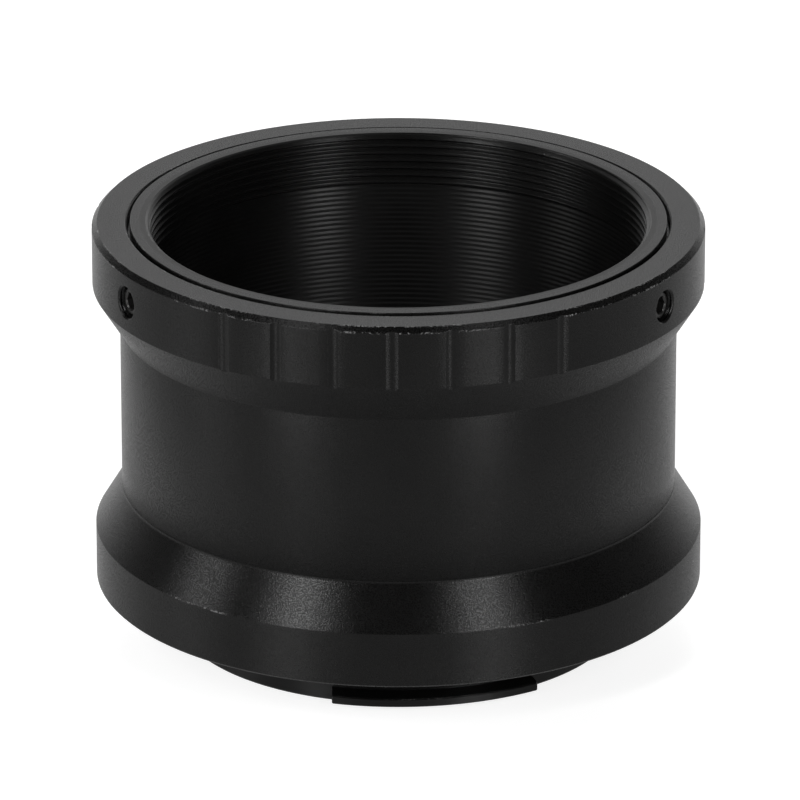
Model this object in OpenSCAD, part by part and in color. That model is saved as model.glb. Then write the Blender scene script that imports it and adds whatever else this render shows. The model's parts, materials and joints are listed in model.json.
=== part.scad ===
// Telescope-to-camera adapter: a hollow turned barrel that carries a female M48 x 0.75 thread ring
// in its front collar and a three-lug lens bayonet at its rear.
// Z runs along the optical axis towards the telescope, and Z = 0 is the free end of the bayonet.
// Turn angles are counted from -Y, positive towards +X.

/* [Body] */
// Distance from the camera face to the collar's front face
register_l = 36; // [34:0.25:50]
// Collar diameter
collar_d = 58.4; // [58.2:0.1:60]
// Height of the collar's cylindrical wall, with its edge
collar_h = 6; // [5.6:0.1:8]
// Height of the cone under the collar
collar_slope_h = 4.1; // [2:0.1:6]
// Bevel on the collar's front edge
collar_edge = 0.5; // [0.2:0.1:0.8]
// Diameter of the waist between the collar and the rim
barrel_d = 53.2; // [53:0.1:56]
// Clear diameter of the ribbed bore
bore_d = 47.8; // [47.7:0.1:48.2]
// Pitch of the anti-glare ribs in the bore
rib_pitch = 0.5; // [0.5:0.1:1]
// Depth of the ribs
rib_depth = 0.2; // [0.1:0.05:0.3]

/* [Rim] */
// Rim diameter
rim_d = 58.3; // [57.4:0.1:62]
// Height of the rim's cylindrical wall
rim_h = 5.4; // [5:0.1:6]
// Height of the cone between the rim and the waist
rim_slope_h = 4.3; // [4:0.1:6]
// Bevel on the rim's lower edge
rim_edge = 0.2; // [0.2:0.05:0.5]
// Length of the spigot that screws the barrel into the rim
spigot_l = 4; // [3:0.1:4.2]
// Diameter of that spigot
spigot_d = 50.6; // [50:0.1:51]

/* [Grip flutes] */
// Flutes in each of the three groups
flute_count = 7; // [1:1:7]
// Angle from one flute to the next
flute_step = 10.85; // [9:0.05:11]
// Width of a flute
flute_w = 1.15; // [0.8:0.05:1.4]
// Depth of a flute
flute_depth = 0.15; // [0.15:0.05:0.4]

/* [Thread ring] */
// Nominal thread diameter
thread_d = 48; // [47.8:0.1:48]
// Thread pitch
thread_pitch = 0.75; // [0.5:0.25:1]
// Outside diameter of the ring
ring_d = 51.6; // [51.4:0.1:52]
// Depth of the recess that the ring drops into
recess_depth = 5.16; // [4.8:0.02:5.4]
// How far the ring stands proud of the collar
ring_proud = 0.12; // [0:0.02:0.3]
// How far the ring is turned down at its front end, which leaves the gap seen round it
ring_relief_w = 0.25; // [0.1:0.05:0.3]
// Length that is turned down
ring_relief_l = 1.2; // [0.8:0.1:1.3]

/* [Set screws] */
// Thread diameter
set_screw_d = 3; // [2.5:0.5:3]
// Length
set_screw_l = 3; // [3:0.1:3.2]
// Depth of the screw's end below the collar wall
set_screw_sunk = 0.5; // [0.5:0.05:0.8]
// Distance from the collar's front face down to the screw's axis
set_screw_drop = 3.17; // [2.8:0.01:3.4]
// Width across the flats of the hexagon socket
socket_af = 1.5; // [1.3:0.1:1.5]
// Depth of the socket
socket_depth = 1.3; // [0.8:0.1:1.5]

/* [Bayonet] */
// Length of the bayonet beyond the camera face
neck_l = 5; // [4.5:0.1:6]
// Outside diameter of the neck
neck_d = 43; // [42.6:0.1:43.6]
// Clear diameter through the neck
aperture_d = 40.4; // [38:0.1:40.8]
// Diameter over the lugs
lug_d = 47.3; // [46:0.1:48]
// Thickness of a lug
lug_t = 0.85; // [0.7:0.05:1.5]
// Distance from the neck's free end to the lugs
lug_lift = 0.6; // [0.3:0.1:1]
// Arc that a lug covers
lug_arc = 49.5; // [30:0.5:60]
// Turn of the middle of the first lug
lug_turn = 9.25; // [-60:0.25:60]
// Diameter of the plate that is let into the rim
plate_d = 54.8; // [54:0.1:55]
// Thickness of the plate
plate_t = 1.6; // [1.4:0.1:1.8]
// Countersunk screws that hold the plate
plate_screws = 6; // [3:3:6]
// Circle that they lie on
plate_screw_pcd = 49.2; // [48.8:0.1:49.4]

/* [Alignment] */
// Turn of the middle of the flute group at the front
front_turn = -1.13; // [-5:0.01:5]
// Diameter of the index bead on the rim
index_d = 2.4; // [1.6:0.1:3]
// Turn of the index bead
index_turn = 129.25; // [90:0.25:270]

/* [Hidden] */
$fn = 96;

through = 0.5;              // how far a cutting tool runs past a face
running_gap = 0.08;         // radial gap of the ring in its recess
seat_gap = 0.04;            // axial gap under the ring
screw_gap = 0.04;           // radial gap of a set screw in its hole
plate_gap = 0.05;           // radial gap of the plate in its recess
fine_edge = 0.15;           // broken edge on a turned corner
third = 120;                // angle between flute groups, between set screws and between lugs

rim_z = neck_l;
rim_slope_z = rim_z + rim_h;
seam_z = rim_slope_z + rim_slope_h;
spigot_z = seam_z - spigot_l;
front_z = rim_z + register_l;
wall_z = front_z - collar_h;
waist_z = wall_z - collar_slope_h;
recess_z = front_z - recess_depth;
recess_r = ring_d / 2 + running_gap;
set_screw_z = front_z - set_screw_drop;

// Ribs of the bore: the narrow lands and roots take a fifth of the pitch each
rib_flat = rib_pitch / 5;

// Metric thread form, as rings of V grooves between narrow lands
minor_factor = 1.0825;      // pitches from the nominal diameter down to the minor one
thread_minor_r = (thread_d - minor_factor * thread_pitch) / 2;
thread_major_r = thread_d / 2;
crest_w = thread_pitch / 4;
root_w = thread_pitch / 8;
ring_z = recess_z + seat_gap;
ring_top_z = front_z + ring_proud;
entry_h = 0.5;              // bevel at the front end of the thread
exit_h = 0.3;               // bevel at its back end
ring_edge = 0.21;           // bevel on the ring's back corner
thread_room = ring_top_z - entry_h - ring_z - exit_h - crest_w;
thread_turns = floor(thread_room / thread_pitch);

// Set screw: cone point of 90 degrees with a small flat at its tip
set_screw_r = set_screw_d / 2 - screw_gap;
tip_r = 0.375;
tip_cone_base_r = 1.2;
tip_l = tip_cone_base_r - tip_r;
tip_lead = 0.1;             // bevel between the cone and the threaded shank
set_screw_end_r = collar_d / 2 - set_screw_sunk;
set_screw_entry_w = 0.12;   // bevel round the mouth of its hole

// V groove of 90 degrees round the ring, in which the three tips sit with a little room
tip_gap = 0.025;
least_vee = 0.5;
vee_depth = max(least_vee, ring_d / 2 - set_screw_end_r + set_screw_l + tip_r + tip_gap);

// Inside of the rear flange
mouth_step = 0.85;          // step from the bore in to the wide end of the flange's cone
throat_l = 0.8;             // straight length at the narrow end of that cone

// Countersunk M2 screws between the lugs
plate_screw_d = 2;
plate_screw_l = 4;
plate_head_d = 3.8;
plate_head_h = (plate_head_d - plate_screw_d) / 2;
plate_screw_gap = 0.1;      // radial gap of the shank in the plate
cross_w = 0.5;
cross_l = 2.1;
cross_depth = 0.8;
gap_half_spread = 18;       // turn of a screw from the middle of the gap between two lugs

// Bayonet ring
neck_lead = 0.2;            // bevels on the neck's free end
lug_lead = 0.12;            // bevels on a lug
lug_root = 0.4;             // how deep lugs and stop are rooted in the neck
block_arc = 5;              // arc of the stop block
block_h = 1.8;              // height of the block above the lug
block_inset = 0.3;          // the block ends this far inside the lug's outer face
pin_d = 2.4;                // width of the lock-pin slot
pin_half_l = 1;             // half the slot's straight length

index_l = 0.9;
index_proud = 0.05;
index_z = rim_z + rim_h / 2;

black = "#1b1b1c";
ring_black = "#1e1e1f";
steel_black = "#161616";
index_red = "#b3201c";

// Outline points of count grooves cut into a bore of radius r, going down from z
function grooves(r, z, pitch, depth, count, land, root) = [
    for (i = [0:count - 1], p = [
        [r, z - i * pitch - land],
        [r + depth, z - i * pitch - land - (pitch - land - root) / 2],
        [r + depth, z - i * pitch - land - (pitch - land + root) / 2],
        [r, z - (i + 1) * pitch]
    ]) p
];

// Draws its children outwards along their own Z, from the axis at height z and turn angle a
module radial(a, z) {
    rotate([0, 0, a])
        translate([0, 0, z])
            rotate([90, 0, 0])
                children();
}

module front_barrel() {
    rib_room = recess_z - spigot_z;
    rib_count = floor((rib_room - rib_pitch) / rib_pitch);
    color(black)
    difference() {
        rotate_extrude()
            polygon(concat(
                [
                    [bore_d / 2, spigot_z],
                    [spigot_d / 2, spigot_z],
                    [spigot_d / 2, seam_z],
                    [barrel_d / 2, seam_z],
                    [barrel_d / 2, waist_z],
                    [collar_d / 2, wall_z],
                    [collar_d / 2, front_z - collar_edge],
                    [collar_d / 2 - collar_edge, front_z],
                    [recess_r + fine_edge, front_z],
                    [recess_r, front_z - fine_edge],
                    [recess_r, recess_z],
                    [bore_d / 2, recess_z]
                ],
                grooves(bore_d / 2, recess_z, rib_pitch, rib_depth, rib_count,
                    rib_flat, rib_flat)
            ));
        for (group = [0:2])
            for (i = [0:flute_count - 1])
                flute(front_turn + group * third + (i - (flute_count - 1) / 2) * flute_step);
        for (i = [1:3])
            set_screw_hole(set_screw_turn(i));
    }
}

// One grip flute, cut by a round-ended tool that runs parallel to the axis
module flute(a) {
    cut_r = flute_depth / 2 + flute_w * flute_w / (8 * flute_depth);
    rotate([0, 0, a])
        translate([0, -(collar_d / 2 - flute_depth + cut_r), waist_z])
            cylinder(r = cut_r, h = front_z - waist_z + through);
}

// The set screws stand midway between the flute groups
function set_screw_turn(i) = front_turn - third / 2 + (i - 1) * third;

module set_screw_hole(a) {
    radial(a, set_screw_z) {
        translate([0, 0, recess_r - through])
            cylinder(d = set_screw_d, h = collar_d / 2 - recess_r + 2 * through);
        translate([0, 0, collar_d / 2 - set_screw_entry_w])
            cylinder(
                d1 = set_screw_d,
                d2 = set_screw_d + 4 * set_screw_entry_w,
                h = 2 * set_screw_entry_w
            );
    }
}

module thread_ring() {
    vee_z = set_screw_z;
    thread_top_z = ring_top_z - entry_h;
    relief_r = ring_d / 2 - ring_relief_w;
    relief_z = ring_top_z - ring_relief_l;
    color(ring_black)
    rotate_extrude()
        polygon(concat(
            [
                [thread_minor_r, thread_top_z],
                [thread_minor_r + entry_h, ring_top_z],
                [relief_r, ring_top_z],
                [relief_r, relief_z],
                [ring_d / 2, relief_z],
                [ring_d / 2, vee_z + vee_depth],
                [ring_d / 2 - vee_depth, vee_z],
                [ring_d / 2, vee_z - vee_depth],
                [ring_d / 2, ring_z + ring_edge],
                [ring_d / 2 - ring_edge, ring_z],
                [thread_minor_r + exit_h, ring_z],
                [thread_minor_r, ring_z + exit_h]
            ],
            reverse(grooves(thread_minor_r, thread_top_z, thread_pitch,
                thread_major_r - thread_minor_r, thread_turns, crest_w, root_w))
        ));
}

function reverse(list) = [for (i = [len(list) - 1:-1:0]) list[i]];

module rear_flange() {
    floor_z = rim_z + plate_t;
    plate_seat_r = plate_d / 2 + plate_gap;
    inner_r = aperture_d / 2;
    mouth_r = bore_d / 2 - mouth_step;
    color(black)
    difference() {
        rotate_extrude()
            polygon([
                [plate_seat_r, rim_z],
                [rim_d / 2 - rim_edge, rim_z],
                [rim_d / 2, rim_z + rim_edge],
                [rim_d / 2, rim_slope_z],
                [barrel_d / 2 + fine_edge, seam_z],
                [spigot_d / 2, seam_z],
                [spigot_d / 2, spigot_z],
                [mouth_r, spigot_z],
                [inner_r, floor_z + throat_l],
                [inner_r, floor_z],
                [plate_seat_r, floor_z]
            ]);
        for (i = [1:plate_screws])
            at_plate_screw(i)
                translate([0, 0, floor_z - through])
                    cylinder(d = plate_screw_d, h = plate_screw_l - plate_t + 2 * through);
        radial(index_turn, index_z)
            translate([0, 0, rim_d / 2 - index_l])
                cylinder(d = index_d, h = index_l + through);
    }
}

// Places its children at plate screw i, between the lugs
module at_plate_screw(i) {
    per_gap = plate_screws / 3;
    gap = floor((i - 1) / per_gap);
    side = per_gap == 1 ? 0 : 2 * ((i - 1) % per_gap) - 1;
    rotate([0, 0, lug_turn + third / 2 + gap * third + side * gap_half_spread])
        translate([0, -plate_screw_pcd / 2, 0])
            children();
}

module bayonet_ring() {
    inner_r = aperture_d / 2;
    color(black)
    difference() {
        union() {
            rotate_extrude()
                polygon([
                    [inner_r + neck_lead, 0],
                    [neck_d / 2 - neck_lead, 0],
                    [neck_d / 2, neck_lead],
                    [neck_d / 2, rim_z],
                    [plate_d / 2, rim_z],
                    [plate_d / 2, rim_z + plate_t],
                    [inner_r, rim_z + plate_t],
                    [inner_r, neck_lead]
                ]);
            for (i = [0:2])
                lug(lug_turn + i * third);
            stop_block(lug_turn + third + lug_arc / 2);
        }
        for (i = [1:plate_screws])
            at_plate_screw(i) {
                translate([0, 0, rim_z - through])
                    cylinder(d = plate_screw_d + 2 * plate_screw_gap, h = plate_t + 2 * through);
                translate([0, 0, rim_z - through])
                    cylinder(
                        d1 = plate_head_d + 2 * through,
                        d2 = plate_screw_d,
                        h = plate_head_h + through
                    );
            }
        lock_slot(lug_turn + third / 2);
    }
}

// One lug, a sector that stands out from the neck
module lug(a) {
    rotate([0, 0, a - 90 - lug_arc / 2])
        rotate_extrude(angle = lug_arc)
            polygon([
                [neck_d / 2 - lug_root, lug_lift],
                [lug_d / 2 - lug_lead, lug_lift],
                [lug_d / 2, lug_lift + lug_lead],
                [lug_d / 2, lug_lift + lug_t - lug_lead],
                [lug_d / 2 - lug_lead, lug_lift + lug_t],
                [neck_d / 2 - lug_root, lug_lift + lug_t]
            ]);
}

// The block above the end of one lug that stops the bayonet's turn
module stop_block(a) {
    block_w = lug_d / 2 - neck_d / 2 - block_inset;
    rotate([0, 0, a - 90 - block_arc])
        rotate_extrude(angle = block_arc)
            translate([neck_d / 2 - lug_root, lug_lift + lug_t - lug_root])
                square([block_w + lug_root, block_h + lug_root]);
}

// The slot in the plate that the camera's lock pin drops into
module lock_slot(a) {
    rotate([0, 0, a])
        translate([0, -plate_screw_pcd / 2, rim_z - through]) {
            for (side = [-1, 1])
                translate([side * pin_half_l, 0, 0])
                    cylinder(d = pin_d, h = plate_t + 2 * through);
            translate([-pin_half_l, -pin_d / 2, 0])
                cube([2 * pin_half_l, pin_d, plate_t + 2 * through]);
        }
}

// Socket set screw with a cone point, in its tapped hole in the collar
module set_screw(i) {
    color(steel_black)
    radial(set_screw_turn(i), set_screw_z)
        difference() {
            translate([0, 0, set_screw_end_r - set_screw_l])
                rotate_extrude()
                    polygon([
                        [0, 0],
                        [tip_r, 0],
                        [tip_cone_base_r, tip_l],
                        [set_screw_r, tip_l + tip_lead],
                        [set_screw_r, set_screw_l - fine_edge],
                        [set_screw_r - fine_edge, set_screw_l],
                        [0, set_screw_l]
                    ]);
            translate([0, 0, set_screw_end_r - socket_depth])
                cylinder(d = socket_af / cos(30), h = socket_depth + through, $fn = 6);
        }
}

// Countersunk screw with a cross recess, driven up through the plate
module plate_screw(i) {
    color(steel_black)
    at_plate_screw(i)
        translate([0, 0, rim_z])
            difference() {
                rotate_extrude()
                    polygon([
                        [0, 0],
                        [plate_head_d / 2, 0],
                        [plate_screw_d / 2, plate_head_h],
                        [plate_screw_d / 2, plate_screw_l],
                        [0, plate_screw_l]
                    ]);
                for (turn = [0, 90])
                    rotate([0, 0, turn])
                        translate([-cross_l / 2, -cross_w / 2, -through])
                            cube([cross_l, cross_w, cross_depth + through]);
            }
}

// Coloured bead in a blind hole in the rim, which shows where the bayonet engages
module index_bead() {
    color(index_red)
    radial(index_turn, index_z)
        translate([0, 0, rim_d / 2 - index_l])
            cylinder(d = index_d, h = index_l + index_proud);
}

front_barrel();
thread_ring();
rear_flange();
bayonet_ring();
index_bead();
for (i = [1:3])
    set_screw(i);
for (i = [1:plate_screws])
    plate_screw(i);
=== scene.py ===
"""Looks for a telescope camera adapter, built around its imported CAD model.

Lengths are in millimetres until a mesh is made. Z runs up the optical axis, and a turn is an
angle in degrees round it, counted from -Y, the front, and positive towards +X.
"""

import json
from math import atan2, ceil, cos, degrees, hypot, pi, radians, sin, sqrt, tan

import bmesh
import bpy
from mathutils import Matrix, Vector


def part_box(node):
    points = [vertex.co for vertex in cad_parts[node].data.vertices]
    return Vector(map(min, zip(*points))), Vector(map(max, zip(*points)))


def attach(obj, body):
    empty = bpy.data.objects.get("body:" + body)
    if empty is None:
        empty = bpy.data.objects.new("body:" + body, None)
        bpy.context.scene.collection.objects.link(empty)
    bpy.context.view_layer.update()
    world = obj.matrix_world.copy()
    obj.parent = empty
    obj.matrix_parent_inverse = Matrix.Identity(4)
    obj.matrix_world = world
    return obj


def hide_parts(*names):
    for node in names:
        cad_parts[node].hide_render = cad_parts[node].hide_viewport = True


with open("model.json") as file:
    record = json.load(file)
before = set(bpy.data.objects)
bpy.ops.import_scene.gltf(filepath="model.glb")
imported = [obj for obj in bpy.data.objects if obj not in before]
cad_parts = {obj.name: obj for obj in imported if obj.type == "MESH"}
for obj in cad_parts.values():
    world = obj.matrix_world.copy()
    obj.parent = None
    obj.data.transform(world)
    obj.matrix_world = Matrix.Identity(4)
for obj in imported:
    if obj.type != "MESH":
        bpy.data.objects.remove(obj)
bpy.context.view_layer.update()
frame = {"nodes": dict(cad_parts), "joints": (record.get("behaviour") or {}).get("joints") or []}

MM = 0.001
WELD = 1e-5  # points this close become one
NEAR = 0.004  # slack when a point or turn is matched with the edge of a window
HAIR = 0.002  # degrees between the two columns at a step in the outline
TINY = 1e-6  # keeps a division from being by zero


# --- Sizes that the frame gives -------------------------------------------------------------------


def reach(node):
    """Largest radius of a CAD node, in millimetres."""
    return max(hypot(v.co.x, v.co.y) for v in frame["nodes"][node].data.vertices) / MM


def foot(node):
    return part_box(node)[0].z / MM


def top(node):
    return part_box(node)[1].z / MM


def middle(node):
    lo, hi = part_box(node)
    return (lo + hi) / 2 / MM


def turn_of(point):
    return degrees(atan2(point.x, -point.y))


def numbered(prefix):
    return sorted(n for n in frame["nodes"] if n.startswith(prefix))


def joint_axis(name):
    return next(j["axis"] for j in frame["joints"] if j["name"] == name)


def furthest(node, turn):
    """How far out a CAD node goes along a turn, in millimetres."""
    a = radians(turn)
    return max(v.co.x * sin(a) - v.co.y * cos(a) for v in frame["nodes"][node].data.vertices) / MM


SCREWS = numbered("set_screw_")
PLATE_SCREWS = numbered("plate_screw_")

COLLAR_R = reach("front_barrel")
FRONT_Z = top("front_barrel")
SPIGOT_Z = foot("front_barrel")
RING_R = reach("thread_ring")
RING_Z = foot("thread_ring")
RING_TOP_Z = top("thread_ring")
RIM_R = reach("rear_flange")
RIM_Z = foot("rear_flange")
SEAM_Z = top("rear_flange")
PLATE_R = reach("bayonet_ring")
PLATE_TOP_Z = top("bayonet_ring")
SCREW_TURNS = [turn_of(Vector(joint_axis(n + "_travel"))) for n in SCREWS]
SCREW_Z = middle(SCREWS[0]).z
SCREW_END_R = furthest(SCREWS[0], SCREW_TURNS[0])
PLATE_SCREW_TURNS = [turn_of(middle(n)) for n in PLATE_SCREWS]
BEAD_TURN = turn_of(middle("index_bead"))
BEAD_Z = middle("index_bead").z

# --- Sizes of the details -------------------------------------------------------------------------

# Roundings, from a crisp edge to a wide one
CRISP, FINE, SLIGHT, SOFT, BROAD, WIDE = 0.03, 0.04, 0.05, 0.06, 0.08, 0.1
ARC_LEAD = 1.5  # how far from the corner a flat side's last point is, in lengths of the arc's run

# Front barrel: foot of the collar, foot of its slope, barrel, recess for the ring, ribbed bore
WALL_Z = FRONT_Z - 6.0
WAIST_Z = WALL_Z - 4.1
BARREL_R = 26.6
COLLAR_EDGE = 0.5
RECESS_Z = FRONT_Z - 5.16
RECESS_R = RING_R + 0.08
FINE_EDGE = 0.15
WAIST_FILLET = 0.12
SEAM_BEVEL = 0.02
SPIGOT_R = 25.3
BORE_R = 23.9
BORE_END_R = BORE_R + 0.2
RIB_PITCH, RIB_DEPTH, RIB_LAND, RIB_FLOOR = 0.5, 0.075, 0.2, 0.2
RIB_COLUMNS = 180
WIDEST_BARREL_COLUMN, WIDEST_FLANGE_COLUMN = 2.1, 1.5

# Rear flange: cone, lip at the seam, seat of the bayonet plate, mouth and throat of the aperture
RIM_TOP_Z = RIM_Z + 5.4
RIM_EDGE = 0.2
LIP_R, LIP_H, LIP_FILLET = BARREL_R + 0.02, 0.18, 0.35
PLATE_SEAT_R = PLATE_R + 0.05
APERTURE_R = 20.2
MOUTH_R = BORE_R - 0.85
THROAT_L = 0.8

# Grip flutes: number in a group, turn between them, and the columns across half of one
FLUTES, FLUTE_STEP, FLUTE_W, FLUTE_DEPTH = 7, 10.85, 1.15, 0.15
FLUTE_SOFT = 0.03
CUTTER_R = FLUTE_DEPTH / 2 + FLUTE_W ** 2 / (8 * FLUTE_DEPTH)
CUTTER_AT = COLLAR_R - FLUTE_DEPTH + CUTTER_R
FLUTE_COLUMNS = [0.1, 0.3] + [FLUTE_W / 2 + past for past in (-0.075, -0.025, 0, 0.03)]
THIRD = 120

# Thread ring: a female M48 x 0.75 thread, with a bevelled mouth and entry, and a relieved front end
THREAD_PITCH, THREAD_MAJOR_R = 0.75, 24
THREAD_MINOR_R = THREAD_MAJOR_R - 1.0825 * THREAD_PITCH / 2
THREAD_DEPTH = THREAD_MAJOR_R - THREAD_MINOR_R
THREAD_CREST, THREAD_ROOT = 1 / 4, 1 / 8
THREAD_FLANK_ROWS, THREAD_CREST_ROWS = 6, 5
RING_COLUMNS = 288
ENTRY_W, EXIT_H, RING_EDGE = 0.5, 0.3, 0.21
MOUTH_L, MOUTH_SLOPE = 0.05, 1.7
ENTRY_L, ENTRY_SLOPE = 0.465, 0.84
THREAD_START_TURN = 165
RELIEF_R, RELIEF_L = RING_R - 0.25, 1.2
VEE = 0.5

# Set screws, their holes inwards from the collar's wall as (radius, depth), and the windows there
SCREW_R, SCREW_HOLE_R, SCREW_L = 1.46, 1.5, 3.0
SCREW_PITCH, SCREW_THREAD_DEPTH, SCREW_CREST, SCREW_ROOT = 0.5, 0.25, 0.15, 0.25
SCREW_COLUMNS, SCREW_THREAD_TOP = 48, SCREW_L - 0.02
SCREW_ENTRY, HOLE_GROOVE = 0.16, 0.2
SCREW_ENTRY_R = SCREW_HOLE_R + SCREW_ENTRY
SCREW_HOLE = [
    (SCREW_ENTRY_R + 0.1, 0),
    (SCREW_ENTRY_R + 0.03, 0),
    (SCREW_ENTRY_R, 0.012),
    (SCREW_HOLE_R + 0.02, SCREW_ENTRY - 0.02),
    (SCREW_HOLE_R, SCREW_ENTRY + 0.03),
    (SCREW_HOLE_R + HOLE_GROOVE, SCREW_ENTRY + 0.18),
    (SCREW_HOLE_R, SCREW_ENTRY + 0.36),
    (SCREW_HOLE_R, 0.7),
]
SCREW_END_TAPER, SCREW_END_FACE_R = 0.55, 1.2
WINDOW, RECESS_WINDOW, WINDOW_CELLS = 2.16, 1.72, 12
SOCKET_AF, SOCKET_DEPTH, SOCKET_MOUTH_R = 1.5, 1.3, 0.92
SOCKET_LEAD, SOCKET_POINT = 0.12, 0.2
TIP_R, TIP_CONE_R = 0.375, 1.2

# Bayonet ring: neck, lugs, stop block, plate with its screws and their holes, lock-pin slot
NECK_R = 21.5
LUG_R, LUG_Z, LUG_T, LUG_ARC = 23.65, 0.6, 0.85, 49.5
LUG_TURN = 9.25
NECK_LEAD, LUG_LEAD = 0.2, 0.12
LUG_BEVEL_TURN = degrees(LUG_LEAD / LUG_R)
BLOCK_ARC, BLOCK_H, BLOCK_R = 5, 1.8, 23.35
BLOCK_END = LUG_TURN + THIRD + LUG_ARC / 2
PLATE_SCREW_AT, PLATE_HEAD_R, PLATE_SHANK_R = 24.6, 1.9, 1.0
PLATE_HEAD_H = PLATE_HEAD_R - PLATE_SHANK_R
PLATE_SCREW_L, PLATE_HOLE_L, PLATE_SCREW_GAP = 4.0, 2.9, 0.1
HEAD_FACE_IN, HEAD_EDGE_IN = 0.1, 0.02
CROSS_L, CROSS_W, CROSS_DEPTH, CROSS_TAPER, CROSS_POINT = 2.1, 0.5, 0.8, 0.8, 0.1
PLATE_SCREW_COLUMNS, PLATE_SCREW_LEAD = 96, 0.2
PLATE_WINDOW, PLATE_CELLS, SLOT_WINDOW = 2.3, 10, 2.7
PLATE_FACE = (PLATE_SCREW_AT - PLATE_WINDOW, PLATE_SCREW_AT + PLATE_WINDOW)
SEAT_WINDOW, SEAT_CELLS = 1.5, 6
PIN_R, PIN_HALF_L = 1.2, 1.0

# Index bead, set in a drilled seat in the rim
BEAD_R, BEAD_L, BEAD_PROUD, BEAD_DOME = 1.2, 0.9, 0.05, 0.12
BEAD_SEAT = [(BEAD_R + 0.06, 0), (BEAD_R + 0.02, 0), (BEAD_R, 0.03)]
BEAD_WINDOW, BEAD_CELLS = 1.6, 8
BEAD_COLUMNS, DOME_ROWS = 48, 8


# --- Mesh tools -----------------------------------------------------------------------------------


def polar(r, turn, z):
    a = radians(turn)
    return Vector((r * sin(a), -r * cos(a), z))


def apart(a, b):
    """Signed angle from turn b to turn a, between -180 and 180."""
    return (a - b + 180) % 360 - 180


def evenly(lo, hi, count):
    return [lo + (hi - lo) * i / count for i in range(count + 1)]


def round_turns(marks, widest):
    """The turns of a ring's columns: the marked ones, and more where those are too far apart."""
    marks = sorted({round(m % 360, 6) for m in marks})
    turns = []
    for here, after in zip(marks, marks[1:] + [marks[0] + 360]):
        count = ceil((after - here) / widest)
        turns += evenly(here, after, count)[:-1]
    return sorted(t % 360 for t in turns)


def rounded(corners, steps=3):
    """Outline points for (radius, height, rounding) corners, with an arc at each rounded one.

    A point just before and just after each arc keeps the shading of the flat parts flat.
    """
    outline = []
    for i, (r, z, size) in enumerate(corners):
        corner = Vector((r, z))
        if not size:
            outline.append(corner)
            continue
        to_last = (Vector(corners[i - 1][:2]) - corner).normalized()
        to_next = (Vector(corners[(i + 1) % len(corners)][:2]) - corner).normalized()
        half = to_last.angle(to_next) / 2
        run = size / tan(half)
        centre = corner + (to_last + to_next).normalized() * size / sin(half)
        start, end = corner + to_last * run - centre, corner + to_next * run - centre
        sweep = start.angle(end)
        outline.append(corner + to_last * run * ARC_LEAD)
        for step in range(steps + 1):
            t = step / steps
            along = start * sin((1 - t) * sweep) + end * sin(t * sweep)
            outline.append(centre + along / sin(sweep))
        outline.append(corner + to_next * run * ARC_LEAD)
    return outline


class Spot:
    """Where a hole or small part sits: its centre, and the directions across, up and out of it."""

    def __init__(self, centre, across, up, out):
        self.centre, self.across, self.up, self.out = centre, across, up, out

    def place(self, point):
        return self.centre + self.across * point.x + self.up * point.y + self.out * point.z

    def angle(self, point):
        return atan2((point - self.centre).dot(self.up), (point - self.centre).dot(self.across))

    def ring(self, size, sunk=0.0, wall_r=None):
        """A ring round the centre as a function of the angle. size is a radius, or gives one.

        With wall_r, the ring follows a round wall of that radius.
        """

        def point(angle):
            r = size(angle) if callable(size) else size
            dip = wall_r - sqrt(wall_r ** 2 - (r * cos(angle)) ** 2) if wall_r else 0
            return self.place(Vector((r * cos(angle), r * sin(angle), -sunk - dip)))

        return point


def wall_spot(radius, turn, z):
    """A spot on a round wall, facing away from the axis."""
    up = Vector((0, 0, 1))
    return Spot(polar(radius, turn, z), polar(1, turn + 90, 0), up, polar(1, turn, 0))


def flat_spot(radius, turn, z, out):
    """A spot on a flat face, facing up where out is 1 and down where it is -1."""
    out = Vector((0, 0, out))
    return Spot(polar(radius, turn, z), polar(1, turn + 90, 0), polar(1, turn, 0), out)


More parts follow.
